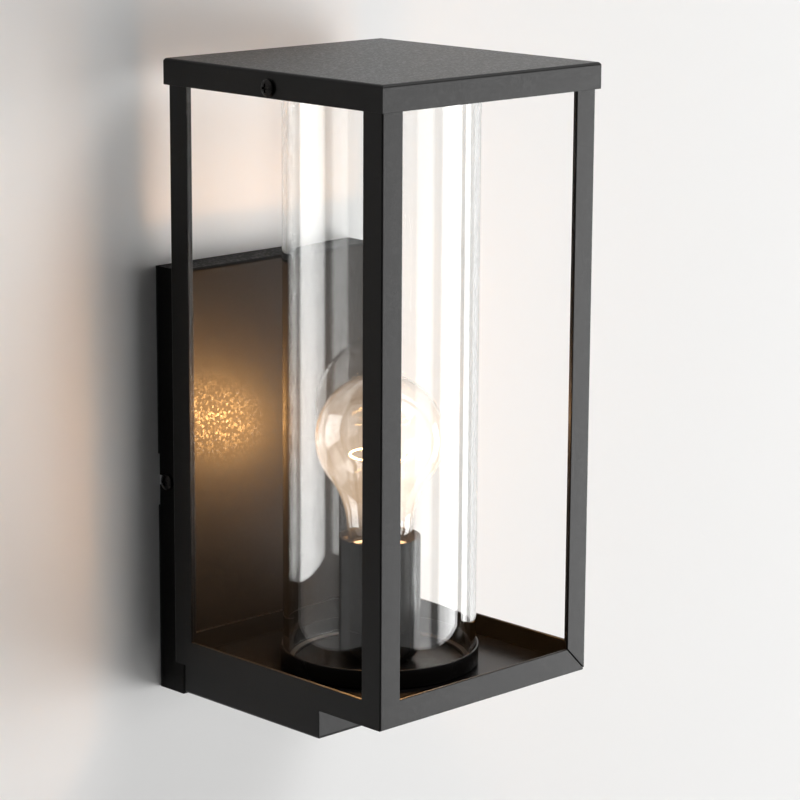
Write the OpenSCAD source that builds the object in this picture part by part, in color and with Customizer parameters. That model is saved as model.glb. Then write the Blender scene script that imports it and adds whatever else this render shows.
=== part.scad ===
// Outdoor wall lantern: a square cage of steel angle that stands on a folded arm,
// in front of a folded wall box. A glass cylinder round an E27 lamp stands in the cage.
// Millimetres. The wall is the plane y = 0 and the lantern stands out of it along -Y.
// The origin is the middle of the wall bracket's back face. +Z is up.

/* [Cage] */
// Width of the cage across its posts
frame_w = 132; // [122:1:150]
// Depth of the cage from its rear face to its front face
frame_d = 139; // [128:1:155]
// Height of the cage from the underside of its bottom rails to the top of its posts
frame_h = 282; // [280:1:320]
// Leg of the steel angle that posts and bottom rails are cut from
angle_leg = 12; // [10:0.5:13]
// Thickness of the steel angle and of the top rails
angle_t = 1.5; // [1:0.25:2]
// Open joint at the mitre between a post and the bottom rails
mitre_gap = 0.3; // [0.1:0.1:0.5]
// Height of the flat top rails behind the roof's skirt
top_rail_h = 10.5; // [9.5:0.25:10.5]
// Thickness of the tray floor
tray_t = 1.2; // [1:0.1:1.5]
// Gap round the tray floor
tray_gap = 0.3; // [0.2:0.1:0.5]

/* [Roof] */
// Thickness of the roof's sheet
roof_t = 1.2; // [1:0.1:1.5]
// Height of the roof's folded skirt, sheet included
skirt_h = 12; // [12:0.5:14]
// Gap between the cage and the inside of the skirt
roof_gap = 0.5; // [0.4:0.1:1]
// Inner radius of the roof's bends
roof_bend_in = 0.4; // [0.2:0.1:0.4]
// Height of the roof screws above the skirt's lower edge
roof_screw_up = 4.6; // [4.4:0.1:5]
// Width of the tapped tabs under the roof
tab_w = 20; // [14:1:30]
// Gap between a tab and the top rail in front of it
tab_gap = 0.3; // [0.2:0.1:0.5]

/* [Wall box] */
// Width of the wall box and of the arm
box_w = 120; // [112:1:124]
// Height of the wall box
box_h = 203; // [190:1:230]
// Distance from the wall to the wall box's front face
box_d = 18; // [17.5:0.5:24]
// Thickness of the sheet of the wall box and the arm
box_t = 1.2; // [1:0.1:1.5]
// Outer radius of the bends of the wall box and the arm
box_bend_r = 1.8; // [1.8:0.1:2.4]
// Height of the cage's underside above the wall box's lower edge
box_drop = 17.5; // [17.2:0.1:22]
// Thickness of the foam gasket between the wall box and the wall
gasket_t = 1; // [0.5:0.25:1.5]
// Width of the foam gasket
gasket_w = 3; // [2:0.5:4]

/* [Arm] */
// Length of the arm in front of the wall box
arm_l = 93; // [85:1:105]
// Height of the arm under the cage
arm_h = 16.7; // [16.4:0.1:17]
// Width of the arm's folded top flanges
flange_w = 9; // [8:0.5:12]

/* [Wall bracket] */
// Height of the bracket's back plate
bracket_h = 60; // [50:1:70]
// Thickness of the bracket
bracket_t = 1.5; // [1.2:0.1:2]
// Height of the bracket's ears
ear_h = 24; // [18:1:30]
// Depth of the bracket's ears from the wall
ear_d = 13; // [12:0.5:14]
// Gap between the bracket and the wall box or its gasket
ear_gap = 0.4; // [0.2:0.1:0.8]
// Distance from the wall to the side screws
side_screw_y = 7; // [6.5:0.5:8]
// Distance between the two wall slots
slot_spacing = 70; // [60:1:80]
// Width of a wall slot
slot_w = 5; // [4:0.5:6]
// End-to-end length of a wall slot
slot_l = 12; // [10:1:16]
// Radius of the supply cable's hole
cable_hole_r = 10; // [8:0.5:12]

/* [Screws] */
// Diameter of the case screws
screw_d = 4; // [3:0.5:4]
// Diameter of the case screws' heads
head_d = 7.6; // [6.8:0.1:8]
// Height of the case screws' heads
head_h = 2.6; // [2.2:0.1:3]
// Length of the case screws under the head
screw_l = 8; // [7:0.5:10]
// Clearance of a slot or hole round a screw
screw_gap = 0.3; // [0.2:0.1:0.4]
// Radial clearance of a thread in its nut
thread_gap = 0.05; // [0.02:0.01:0.08]
// Radius of the pressed-in nuts of ears and tabs
nut_r = 3.6; // [3:0.1:4]
// Length of the pressed-in nuts behind their sheet
nut_l = 3; // [2:0.25:3.5]

/* [Glass and dish] */
// Outer radius of the glass cylinder
glass_r = 45; // [40:0.5:48]
// Wall thickness of the glass cylinder
glass_t = 2.5; // [2:0.25:3.5]
// Height of the glass cylinder
glass_h = 270; // [220:1:270]
// Gap between the glass and the dish's wall
glass_gap = 0.3; // [0.2:0.1:0.6]
// Thickness of the dish's sheet
dish_t = 1; // [0.8:0.1:1.2]
// Height of the dish
dish_h = 9.3; // [8:0.1:14]
// Thickness of the silicone ring under the glass
seat_t = 1; // [0.8:0.1:1.5]
// Width of the silicone ring
seat_w = 5; // [4:0.5:7]

/* [Lampholder] */
// Outer radius of the lampholder's cover
cover_r = 19; // [18.5:0.25:21]
// Wall thickness of the cover's cup and sleeve
cover_t = 1; // [0.8:0.1:1.2]
// Height of the cover's base cup up to its shoulder
cup_h = 17.3; // [16.5:0.1:20]
// Radius of the cup's rounded lower edge
cup_round = 8; // [6:0.5:8]
// Height of the cover's sleeve
sleeve_h = 42.4; // [40:0.1:45]
// Height of the spigot that the sleeve is screwed on
spigot_h = 4; // [3:0.5:5]
// Depth of the groove at the joint of cup and sleeve
cover_groove = 0.3; // [0.2:0.1:0.5]
// Radial gap between parts that are fitted into one another
fit_gap = 0.1; // [0.05:0.01:0.2]
// Depth of the ceramic's upper face below the sleeve's rim
ceramic_sink = 6.4; // [5:0.1:8]
// Outer radius of the threaded tube under the lampholder
nipple_r = 4.9; // [4.7:0.1:5.2]
// Bore radius of the threaded tube
nipple_bore_r = 3.8; // [3.5:0.1:3.9]
// Length of the threaded tube below the cage
nipple_drop = 4; // [3:0.25:5]
// Wall thickness of the holder's screw shell
shell_t = 0.5; // [0.4:0.1:0.6]
// Radial gap between the shell and the lamp's cap
shell_gap = 0.4; // [0.3:0.1:0.5]

/* [Lamp] */
// Radius of the lamp's globe
globe_r = 30; // [27:0.5:33]
// Overall length of the lamp
lamp_l = 110; // [106:1:118]
// Radius of the lamp's neck
neck_r = 15.3; // [14.6:0.1:16]
// Radius of the curve between neck and globe
neck_curve_r = 40; // [34:1:46]
// Thickness of the lamp's glass
lamp_glass_t = 0.7; // [0.5:0.1:0.9]
// Outer radius of the lamp's screw cap
cap_r = 13.1; // [12.9:0.05:13.2]
// Height of the lamp's cap with its contact
cap_h = 27; // [26:0.5:28]
// Radius of the filament's open ring
filament_r = 14; // [10:0.5:16]
// Radius of the filament's coil
coil_r = 0.45; // [0.3:0.05:0.6]

/* [Wiring] */
// Outer radius of an insulated lead
lead_r = 1.1; // [0.9:0.1:1.2]
// Distance of the holder's leads from the lamp's axis
lead_x = 2; // [1.6:0.1:2.2]
// Width of one way of the terminal block
way_w = 8; // [8:0.5:10]
// Height of the terminal block off the box's sheet
block_d = 10; // [10:0.5:11]
// Length of the terminal block along its wires
block_h = 15; // [13:0.5:18]

/* [Hidden] */

$fn = 96;
cut = 1;

// Colours of the finishes
black_coat = [0.11, 0.1, 0.1];
zinc = [0.72, 0.73, 0.75];
brass = [0.8, 0.63, 0.33];
ceramic = [0.92, 0.91, 0.87];
black_rubber = [0.06, 0.06, 0.06];
vitrite = [0.08, 0.07, 0.08];
tungsten = [0.9, 0.6, 0.3];
earth_green = [0.35, 0.6, 0.2];
silicone = [0.07, 0.07, 0.07];
clear_glass = [0.85, 0.92, 0.95, 0.35];

// Planes and heights that the pieces share
frame_z = -box_h / 2 + box_drop;
frame_top = frame_z + frame_h;
front_y = -box_d - frame_d;
axis_y = -box_d - frame_d / 2;
box_inner_y = -box_d + box_t;
skirt_out = roof_gap + roof_t;
roof_screw_z = frame_top + roof_t - skirt_h + roof_screw_up;
tray_z = frame_z + angle_t;
dish_z = tray_z + tray_t;
dish_floor_z = dish_z + dish_t;
dish_inner_r = glass_r + glass_gap;
glass_z = dish_floor_z + seat_t;
arm_floor_z = frame_z - arm_h;

// Lampholder: heights of its pieces and the sizes of the cup inside
cup_floor_t = 1.2;
cup_boss_r = 7;
cup_boss_h = 8;
ceramic_low = dish_floor_z + cup_boss_h + 2.3;
lead_hole_h = 2;
shoulder_z = dish_floor_z + cup_h;
spigot_top = shoulder_z + spigot_h;
spigot_r = cover_r - cover_t - fit_gap;
cup_inner_r = spigot_r - cover_t;
sleeve_top = shoulder_z + sleeve_h;
ceramic_top = sleeve_top - ceramic_sink;
bead_h = 1;
shell_low = 2;
shell_lip = 2;
contact_pad_r = 5;
contact_pad_t = 0.6;
contact_spring_r = 2.5;
nipple_low = frame_z - nipple_drop;
nipple_nut_af = 14;
nipple_nut_h = 3.5;

// Lamp: its lowest point and the depth of the ceramic's socket below it
lamp_sink = 33.6;
contact_h = 1.8;
lamp_z = sleeve_top - lamp_sink;
socket_z = lamp_z - contact_h;
shell_inner_r = cap_r + shell_gap;
shell_r = shell_inner_r + shell_t;
globe_z = lamp_z + lamp_l - globe_r;
cap_top = lamp_z + cap_h;
cap_t = 0.4;
cap_thread = 0.6;
cap_pitch = 3.6;
cap_grooves = 4;
groove_r = 1.4;
groove_depth = 0.5;
tip_r = 4.8;
tip_h = 0.8;
insulator_r = 5;
insulator_h = 5.7;
insulator_step = 1;
tail_gap = 0.4;
glass_tail_r = cap_r - cap_t - tail_gap;
glass_tail_drop = 5;
glass_tail_z = cap_top - glass_tail_drop;
filament_drop = 8;
filament_z = globe_z - filament_drop;

// Lamp stem: radii of its tube, rod and button, and the size of its flat pinch
stem_r = 4;
stem_t = 1;
rod_r = 1.3;
button_r = 2.2;
pinch_t = 3.2;
pinch_h = 8;
pinch_overlap = 2;
pinch_drop = 18;
pinch_z = filament_z - pinch_drop;
button_drop = 6;
button_z = filament_z - button_drop;
lead_in_x = 1.5;
lead_in_y = 1;

// Wiring: heights of the duct through the arm and of the terminal block
duct_rise = 6;
duct_z = arm_floor_z + box_t + duct_rise;
duct_hole_r = 4.5;
grommet_flange_r = duct_rise - 0.3;
grommet_flange_t = 1;
block_ways = 3;
block_z = -50;
block_end = 1;
barrel_r = 2.4;
barrel_bore_r = 1.35;
barrel_stand = 4.5;
barrel_y = box_inner_y + barrel_stand;
barrel_inset = 1;
clamp_r = 1;
clamp_head_r = 1.6;
clamp_head_h = 1.4;
clamp_slot_w = 0.4;
clamp_slot_depth = 0.6;
earth_x = 24;
earth_rise = 4;
earth_z = frame_z + earth_rise;
stud_d = 2.5;
stud_nut_af = 5;
stud_nut_h = 2;
earth_stud_d = 4;
earth_nut_af = 7;
earth_nut_h = 3.2;
stud_tip = 3.2;
eyelet_r = 4;
eyelet_t = 0.8;
crimp_r = 1.6;
crimp_l = 6;
lead_sides = 8;
lead_bend_r = 5.5;
lead_end = 2;
lead_out = 3;

// ---- Shared shapes ----

module at_axis(z) {
    translate([0, axis_y, z]) children();
}

// Tube that stands on the plane z = 0
module tube(outer, inner, height) {
    difference() {
        cylinder(r = outer, h = height);
        translate([0, 0, -cut]) cylinder(r = inner, h = height + 2 * cut);
    }
}

// Rectangle below the x axis with its two upper corners rounded
module bent_profile(w, h, r) {
    translate([-w / 2, -h]) square([w, h - r]);
    translate([-w / 2 + r, -h]) square([w - 2 * r, h]);
    for (side = [-1, 1]) translate([side * (w / 2 - r), -r]) circle(r);
}

// Block below the plane z = 0 with its four upper edges rounded
module bent_block(w, d, h, r) {
    intersection() {
        rotate([90, 0, 0]) linear_extrude(d, center = true) bent_profile(w, h, r);
        rotate([90, 0, 90]) linear_extrude(w, center = true) bent_profile(d, h, r);
    }
}

// Pan folded from sheet: a plate with its upper face at z = 0 and walls that hang from it
module folded_pan(w, d, h, t, r) {
    difference() {
        bent_block(w, d, h, r);
        translate([0, 0, -t]) bent_block(w - 2 * t, d - 2 * t, h, r - t);
    }
}

// Bar of steel angle along +Z with its outer corner on the z axis. Its mitred ends are
// cut so that three bars meet in the corner of a box.
module angle_bar(length, mitred_end) {
    back = mitre_gap / sqrt(2);
    big = angle_leg + 2 * cut;
    difference() {
        linear_extrude(length) difference() {
            square(angle_leg);
            translate([angle_t, angle_t]) square(angle_leg);
        }
        mitre_wedges(back, big);
        if (mitred_end) translate([0, 0, length]) mirror([0, 0, 1]) mitre_wedges(back, big);
    }
}

// Two wedges that take away all below the planes z = x + back and z = y + back
module mitre_wedges(back, big) {
    for (side = [0, 1]) mirror([side, -side, 0])
        translate([0, big - cut, 0]) rotate([90, 0, 0]) linear_extrude(big + cut)
            polygon([[-cut, -cut], [big, -cut], [big, big + back], [-cut, back - cut]]);
}

// Pan-head screw with a cross recess: head above the plane z = 0, shank below it
module pan_screw() {
    edge_h = head_h / 2;
    dome_h = head_h - edge_h;
    dome_r = (pow(head_d / 2, 2) + pow(dome_h, 2)) / (2 * dome_h);
    recess_l = head_d * 0.55;
    recess_w = head_d * 0.14;
    difference() {
        intersection() {
            cylinder(d = head_d, h = head_h);
            translate([0, 0, head_h - dome_r]) sphere(dome_r);
        }
        for (turn = [0, 90]) rotate([0, 0, turn])
            translate([-recess_l / 2, -recess_w / 2, head_h / 2]) cube([recess_l, recess_w, head_h]);
    }
    translate([0, 0, -screw_l]) cylinder(d = screw_d, h = screw_l);
}

// Hexagon nut on the plane z = 0
module hex_nut(across_flats, bore_r, height) {
    difference() {
        cylinder(d = across_flats / cos(30), h = height, $fn = 6);
        translate([0, 0, -cut]) cylinder(r = bore_r, h = height + 2 * cut);
    }
}

// Straight round wire from point p to point q
module wire(p, q, r) {
    v = q - p;
    length = norm(v);
    translate(p) rotate([0, acos(v.z / length), atan2(v.y, v.x)]) cylinder(r = r, h = length);
}

// Smooth route through the given points: a Catmull-Rom curve with three steps a span
function spline_point(a, b, c, d, t) = 0.5 * (2 * b + (c - a) * t
    + (2 * a - 5 * b + 4 * c - d) * t * t + (3 * b - a - 3 * c + d) * t * t * t);
function smooth_route(p, steps = 3) = [
    for (i = [0 : len(p) - 2], k = [0 : steps - 1])
        spline_point(p[max(i - 1, 0)], p[i], p[i + 1], p[min(i + 2, len(p) - 1)], k / steps),
    p[len(p) - 1]];
function unit(v) = v / norm(v);
function tangent(p, i) = unit(p[min(i + 1, len(p) - 1)] - p[max(i - 1, 0)]);

// Insulated lead swept along a route. Each ring's first radius is the one before it,
// squared up to the new direction, so that the sweep doesn't twist.
module lead(points) {
    route = smooth_route(points);
    count = len(route);
    radii = [for (i = 0, n = [1, 0, 0]; i < count;
        i = i + 1, n = i < count ? unit(n - tangent(route, i) * (n * tangent(route, i))) : n) n];
    rings = [for (i = [0 : count - 1]) let (b = cross(tangent(route, i), radii[i]))
        for (k = [0 : lead_sides - 1])
            route[i] + lead_r * (radii[i] * cos(360 * k / lead_sides) + b * sin(360 * k / lead_sides))];
    walls = [for (i = [0 : count - 2], k = [0 : lead_sides - 1])
        let (a = i * lead_sides + k, b = i * lead_sides + (k + 1) % lead_sides)
            [a, a + lead_sides, b + lead_sides, b]];
    start_cap = [for (k = [0 : lead_sides - 1]) k];
    end_cap = [for (k = [lead_sides - 1 : -1 : 0]) (count - 1) * lead_sides + k];
    polyhedron(rings, concat(walls, [start_cap, end_cap]));
}

// ---- Cage ----

// The cage's corners are counted anticlockwise from the front left one
function corner(k) = [k == 0 || k == 3 ? -frame_w / 2 : frame_w / 2, k < 2 ? front_y : -box_d, frame_z];
function side_length(k) = k % 2 == 0 ? frame_w : frame_d;

module post(k) {
    color(black_coat) translate(corner(k)) rotate([0, 0, 90 * k]) angle_bar(frame_h, false);
}

module bottom_rail(k) {
    color(black_coat) translate(corner(k)) rotate([0, 0, 90 * k])
        rotate([90, 0, 90]) angle_bar(side_length(k), true);
}

// Flat bar welded between two posts. The bars at the sides have a slot for the roof screw.
module top_rail(k) {
    slot_r = screw_d / 2 + screw_gap;
    slot_up = roof_screw_z - frame_top + top_rail_h;
    color(black_coat) translate(corner(k)) rotate([0, 0, 90 * k])
        translate([angle_leg, 0, frame_h - top_rail_h]) difference() {
            cube([side_length(k) - 2 * angle_leg, angle_t, top_rail_h]);
            if (k % 2 == 1) translate([side_length(k) / 2 - angle_leg, -cut, slot_up]) {
                rotate([-90, 0, 0]) cylinder(r = slot_r, h = angle_t + 2 * cut);
                translate([-slot_r, 0, 0]) cube([2 * slot_r, angle_t + 2 * cut, top_rail_h]);
            }
        }
}

module tray_floor() {
    w = frame_w - 2 * (angle_t + tray_gap);
    d = frame_d - 2 * (angle_t + tray_gap);
    color(black_coat) at_axis(tray_z) difference() {
        translate([-w / 2, -d / 2, 0]) cube([w, d, tray_t]);
        translate([0, 0, -cut]) cylinder(r = nipple_r + screw_gap, h = tray_t + 2 * cut);
    }
}

// ---- Roof ----

module roof_cap() {
    color(black_coat) difference() {
        at_axis(frame_top + roof_t) folded_pan(
            frame_w + 2 * skirt_out, frame_d + 2 * skirt_out, skirt_h, roof_t, roof_t + roof_bend_in);
        for (side = [-1, 1]) translate([side * (frame_w / 2 + skirt_out + cut), axis_y, roof_screw_z])
            rotate([0, -90 * side, 0]) cylinder(r = screw_d / 2 + screw_gap, h = skirt_out + 2 * cut);
    }
}

// Angle tab spot-welded under the roof at each side, with a pressed-in nut for the roof screw
module roof_tabs() {
    leg_x = frame_w / 2 - angle_t - tab_gap;
    leg_z = roof_screw_z - nut_r;
    color(zinc) for (side = [0, 1]) mirror([side, 0, 0]) difference() {
        translate([0, axis_y, 0]) union() {
            translate([leg_x - angle_t, -tab_w / 2, leg_z]) cube([angle_t, tab_w, frame_top - leg_z]);
            translate([leg_x - angle_leg, -tab_w / 2, frame_top - angle_t]) cube([angle_leg, tab_w, angle_t]);
            translate([leg_x - angle_t - nut_l, 0, roof_screw_z]) rotate([0, 90, 0])
                cylinder(r = nut_r, h = nut_l + angle_t);
        }
        translate([leg_x - angle_t - nut_l - cut, axis_y, roof_screw_z]) rotate([0, 90, 0])
            cylinder(r = screw_d / 2 + thread_gap, h = nut_l + angle_t + 2 * cut);
    }
}

module roof_screw(side) {
    color(zinc) translate([side * (frame_w / 2 + skirt_out), axis_y, roof_screw_z])
        rotate([0, 90 * side, 0]) pan_screw();
}

// ---- Wall box and its bracket ----

module wall_bracket() {
    plate_w = box_w - 2 * (gasket_w + ear_gap);
    ears_w = box_w - 2 * (box_t + ear_gap);
    color(zinc) difference() {
        union() {
            translate([-plate_w / 2, -bracket_t, -bracket_h / 2]) cube([plate_w, bracket_t, bracket_h]);
            translate([-ears_w / 2, -bracket_t, -ear_h / 2]) cube([ears_w, bracket_t, ear_h]);
            for (side = [0, 1]) mirror([side, 0, 0]) {
                translate([ears_w / 2 - bracket_t, -ear_d, -ear_h / 2]) cube([bracket_t, ear_d, ear_h]);
                translate([ears_w / 2 - bracket_t - nut_l, -side_screw_y, 0]) rotate([0, 90, 0])
                    cylinder(r = nut_r, h = nut_l + bracket_t);
            }
        }
        rotate([90, 0, 0]) translate([0, 0, -cut]) {
            cylinder(r = cable_hole_r, h = bracket_t + 2 * cut);
            for (side = [-1, 1]) translate([side * slot_spacing / 2, 0, 0]) wall_slot();
        }
        for (side = [0, 1]) mirror([side, 0, 0])
            translate([ears_w / 2 - bracket_t - nut_l - cut, -side_screw_y, 0]) rotate([0, 90, 0])
                cylinder(r = screw_d / 2 + thread_gap, h = nut_l + bracket_t + 2 * cut);
    }
}

module wall_slot() {
    depth = bracket_t + 2 * cut;
    straight = slot_l - slot_w;
    translate([-straight / 2, -slot_w / 2, 0]) cube([straight, slot_w, depth]);
    for (end = [-1, 1]) translate([end * straight / 2, 0, 0]) cylinder(d = slot_w, h = depth);
}

// The slots in the sides are open to the wall, so that the box slides on and off
// with its screws loosened.
module wall_box() {
    slot_r = screw_d / 2 + screw_gap;
    color(black_coat) difference() {
        translate([0, -box_d, 0]) rotate([90, 0, 0])
            folded_pan(box_w, box_h, box_d - gasket_t, box_t, box_bend_r);
        translate([-box_w / 2 - cut, -side_screw_y, 0]) {
            rotate([0, 90, 0]) cylinder(r = slot_r, h = box_w + 2 * cut);
            translate([0, 0, -slot_r]) cube([box_w + 2 * cut, side_screw_y, 2 * slot_r]);
        }
        translate([0, -box_d - cut, duct_z]) rotate([-90, 0, 0])
            cylinder(r = duct_hole_r, h = box_t + 2 * cut);
    }
}

module wall_gasket() {
    gap_h = ear_h + 2 * ear_gap;
    color(black_rubber) difference() {
        translate([-box_w / 2, -gasket_t, -box_h / 2]) cube([box_w, gasket_t, box_h]);
        translate([-box_w / 2 + gasket_w, -gasket_t - cut, -box_h / 2 + gasket_w])
            cube([box_w - 2 * gasket_w, gasket_t + 2 * cut, box_h - 2 * gasket_w]);
        translate([-box_w / 2 - cut, -gasket_t - cut, -gap_h / 2])
            cube([box_w + 2 * cut, gasket_t + 2 * cut, gap_h]);
    }
}

module side_screw(side) {
    color(zinc) translate([side * box_w / 2, -side_screw_y, 0]) rotate([0, 90 * side, 0]) pan_screw();
}

// ---- Arm ----

// Folded channel under the cage. Its flanges carry the side rails, and the lip at its
// front closes the step up to the tray.
module arm_box() {
    lip_w = frame_w - 2 * (angle_leg + ear_gap);
    long = arm_l + 2 * box_bend_r;
    color(black_coat) {
        difference() {
            translate([0, -box_d - arm_l + long / 2, arm_floor_z]) mirror([0, 0, 1])
                folded_pan(box_w, long, arm_h, box_t, box_bend_r);
            translate([-box_w / 2 - cut, -box_d, arm_floor_z - cut])
                cube([box_w + 2 * cut, 3 * box_bend_r, arm_h + 2 * cut]);
        }
        for (side = [0, 1]) mirror([side, 0, 0])
            translate([box_w / 2 - flange_w, -box_d - arm_l, frame_z - box_t])
                cube([flange_w, arm_l, box_t]);
        translate([-lip_w / 2, -box_d - arm_l, frame_z - box_t]) cube([lip_w, box_t, box_t + angle_t]);
    }
}

// ---- Wiring ----

// Rubber bush in the hole from the wall box into the arm
module cable_grommet() {
    bore_r = lead_x + lead_r + screw_gap;
    color(black_rubber) translate([0, -box_d - grommet_flange_t, duct_z]) rotate([-90, 0, 0]) difference() {
        union() {
            cylinder(r = grommet_flange_r, h = grommet_flange_t);
            cylinder(r = duct_hole_r - fit_gap, h = box_t + 2 * grommet_flange_t);
            translate([0, 0, grommet_flange_t + box_t]) cylinder(r = grommet_flange_r, h = grommet_flange_t);
        }
        translate([0, 0, -cut]) cylinder(r = bore_r, h = box_t + 2 * grommet_flange_t + 2 * cut);
    }
}

// Places where a stud stands on the box's sheet
module at_block_studs() {
    for (side = [-1, 1]) translate([side * way_w / 2, box_inner_y, block_z]) rotate([-90, 0, 0]) children();
}

module at_earth_stud() {
    translate([earth_x, box_inner_y, earth_z]) rotate([-90, 0, 0]) children();
}

module weld_studs() {
    color(zinc) {
        at_block_studs() cylinder(d = stud_d, h = block_d + stud_tip);
        at_earth_stud() cylinder(d = earth_stud_d, h = eyelet_t + 2 * stud_tip);
    }
}

module stud_nuts() {
    color(zinc) {
        at_block_studs() translate([0, 0, block_d]) hex_nut(stud_nut_af, stud_d / 2 + thread_gap, stud_nut_h);
        at_earth_stud() translate([0, 0, eyelet_t])
            hex_nut(earth_nut_af, earth_stud_d / 2 + thread_gap, earth_nut_h);
    }
}

// Places of the barrels: three ways side by side, with two screws in each
function way_x(i) = (i - (block_ways - 1) / 2) * way_w;
function screw_up(end) = end * block_h / 4;

module terminal_block() {
    w = block_ways * way_w + 2 * block_end;
    color(ceramic) difference() {
        translate([-w / 2, box_inner_y, block_z - block_h / 2]) cube([w, block_d, block_h]);
        for (i = [0 : block_ways - 1]) {
            translate([way_x(i), barrel_y, block_z - block_h / 2 - cut])
                cylinder(r = barrel_r + fit_gap, h = block_h + 2 * cut);
            for (end = [-1, 1]) translate([way_x(i), barrel_y, block_z + screw_up(end)])
                rotate([-90, 0, 0]) cylinder(r = clamp_head_r + screw_gap, h = block_d);
        }
        at_block_studs() translate([0, 0, -cut]) cylinder(d = stud_d + screw_gap, h = block_d + 2 * cut);
    }
}

module terminal_barrels() {
    color(brass) for (i = [0 : block_ways - 1]) difference() {
        translate([way_x(i), barrel_y, block_z - block_h / 2 + barrel_inset])
            tube(barrel_r, barrel_bore_r, block_h - 2 * barrel_inset);
        for (end = [-1, 1]) translate([way_x(i), barrel_y, block_z + screw_up(end)])
            rotate([-90, 0, 0]) cylinder(r = clamp_r + thread_gap, h = barrel_r + cut);
    }
}

module terminal_screws() {
    color(zinc) for (i = [0 : block_ways - 1], end = [-1, 1])
        translate([way_x(i), barrel_y + lead_r + fit_gap, block_z + screw_up(end)]) rotate([-90, 0, 0]) {
            cylinder(r = clamp_r, h = barrel_r);
            translate([0, 0, barrel_r - lead_r]) difference() {
                cylinder(r = clamp_head_r, h = clamp_head_h);
                translate([-clamp_head_r - cut, -clamp_slot_w / 2, clamp_head_h - clamp_slot_depth])
                    cube([2 * (clamp_head_r + cut), clamp_slot_w, cut]);
            }
        }
}

// Ring terminal on the earth stud, with its crimped barrel upwards
module earth_eyelet() {
    color(brass) difference() {
        union() {
            at_earth_stud() cylinder(r = eyelet_r, h = eyelet_t);
            translate([earth_x - crimp_r, box_inner_y, earth_z]) cube([2 * crimp_r, eyelet_t, eyelet_r + cut]);
            translate([earth_x, box_inner_y + crimp_r, earth_z + eyelet_r]) cylinder(r = crimp_r, h = crimp_l);
        }
        at_earth_stud() translate([0, 0, -cut])
            cylinder(r = earth_stud_d / 2 + thread_gap, h = eyelet_t + 2 * cut);
        translate([earth_x, box_inner_y + crimp_r, earth_z + eyelet_r + cut])
            cylinder(r = lead_r + thread_gap, h = crimp_l);
    }
}

// From a way of the terminal block down to the grommet, along the arm and up into the holder
function holder_route(side) = let (
    way = way_x(side < 0 ? 0 : 1), x = side * lead_x, low_y = axis_y + lead_bend_r,
    block_low = block_z - block_h / 2) [
    [way, barrel_y, block_z - lead_end],
    [way, barrel_y, block_low - lead_out],
    [way + (x - way) / 5, barrel_y, block_low - lead_out - lead_bend_r],
    [x + (way - x) / 6, barrel_y, duct_z + 2.5 * lead_bend_r],
    [x, barrel_y, duct_z + lead_bend_r + lead_out / 2],
    [x, barrel_y - lead_end, duct_z + lead_end],
    [x, -box_d, duct_z],
    [x, -box_d - 2 * lead_bend_r, duct_z],
    [x, (low_y - box_d) / 2, duct_z],
    [x, low_y + 2 * lead_bend_r, duct_z],
    [x, low_y, duct_z],
    [x, axis_y + lead_bend_r * (1 - sin(45)), duct_z + lead_bend_r * (1 - sin(45))],
    [x, axis_y, duct_z + lead_bend_r],
    [x, axis_y, dish_z],
    [x, axis_y, dish_floor_z + cup_boss_h],
    [x, axis_y, shoulder_z + lead_hole_h / 2]];

// From the last way to the eyelet on the earth stud
function earth_route() = let (
    way = way_x(2), x = earth_x, y = box_inner_y + crimp_r,
    crimp_top = earth_z + eyelet_r + crimp_l, block_low = block_z - block_h / 2) [
    [way, barrel_y, block_z - lead_end],
    [way, barrel_y, block_low - lead_end],
    [way + lead_end, barrel_y, block_low - lead_bend_r],
    [(way + x) / 2, (barrel_y + y) / 2, (block_low + crimp_top) / 2],
    [x - lead_end / 2, y, crimp_top + lead_bend_r],
    [x, y, crimp_top + lead_end / 2],
    [x, y, crimp_top - crimp_l + cut + lead_end / 2]];

module holder_lead(side, tint) {
    color(tint) lead(holder_route(side));
}

module earth_lead() {
    color(earth_green) lead(earth_route());
}

// ---- Glass and dish ----

module glass_dish() {
    color(black_coat) at_axis(dish_z) difference() {
        cylinder(r = dish_inner_r + dish_t, h = dish_h);
        translate([0, 0, dish_t]) cylinder(r = dish_inner_r, h = dish_h);
        translate([0, 0, -cut]) cylinder(r = nipple_r + screw_gap, h = dish_t + 2 * cut);
    }
}

module glass_seat() {
    outer = dish_inner_r - fit_gap;
    color(silicone) at_axis(dish_floor_z) tube(outer, outer - seat_w, seat_t);
}

module glass_cylinder() {
    color(clear_glass) at_axis(glass_z) tube(glass_r, glass_r - glass_t, glass_h);
}

// ---- Lampholder ----

// Half section of a cup with a rounded lower edge, from the axis outwards
module cup_half(outer, bend, height) {
    square([outer - bend, height]);
    translate([0, bend]) square([outer, height - bend]);
    translate([outer - bend, bend]) circle(bend);
}

// Metal cup on the dish: a tapped boss for the nipple, and a spigot for the sleeve
module cover_base() {
    top = cup_h + spigot_h;
    color(black_coat) at_axis(dish_floor_z) rotate_extrude() difference() {
        union() {
            cup_half(cover_r, cup_round, cup_h - cover_groove);
            translate([0, cup_round]) square([cover_r - cover_groove, cup_h - cup_round]);
            translate([0, cup_round]) square([spigot_r, top - cup_round]);
        }
        difference() {
            translate([0, cup_floor_t]) cup_half(cup_inner_r, cup_round - cup_floor_t, top);
            square([cup_boss_r, cup_boss_h]);
        }
        translate([0, -cut]) square([nipple_r + thread_gap, cup_boss_h + 2 * cut]);
    }
}

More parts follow.
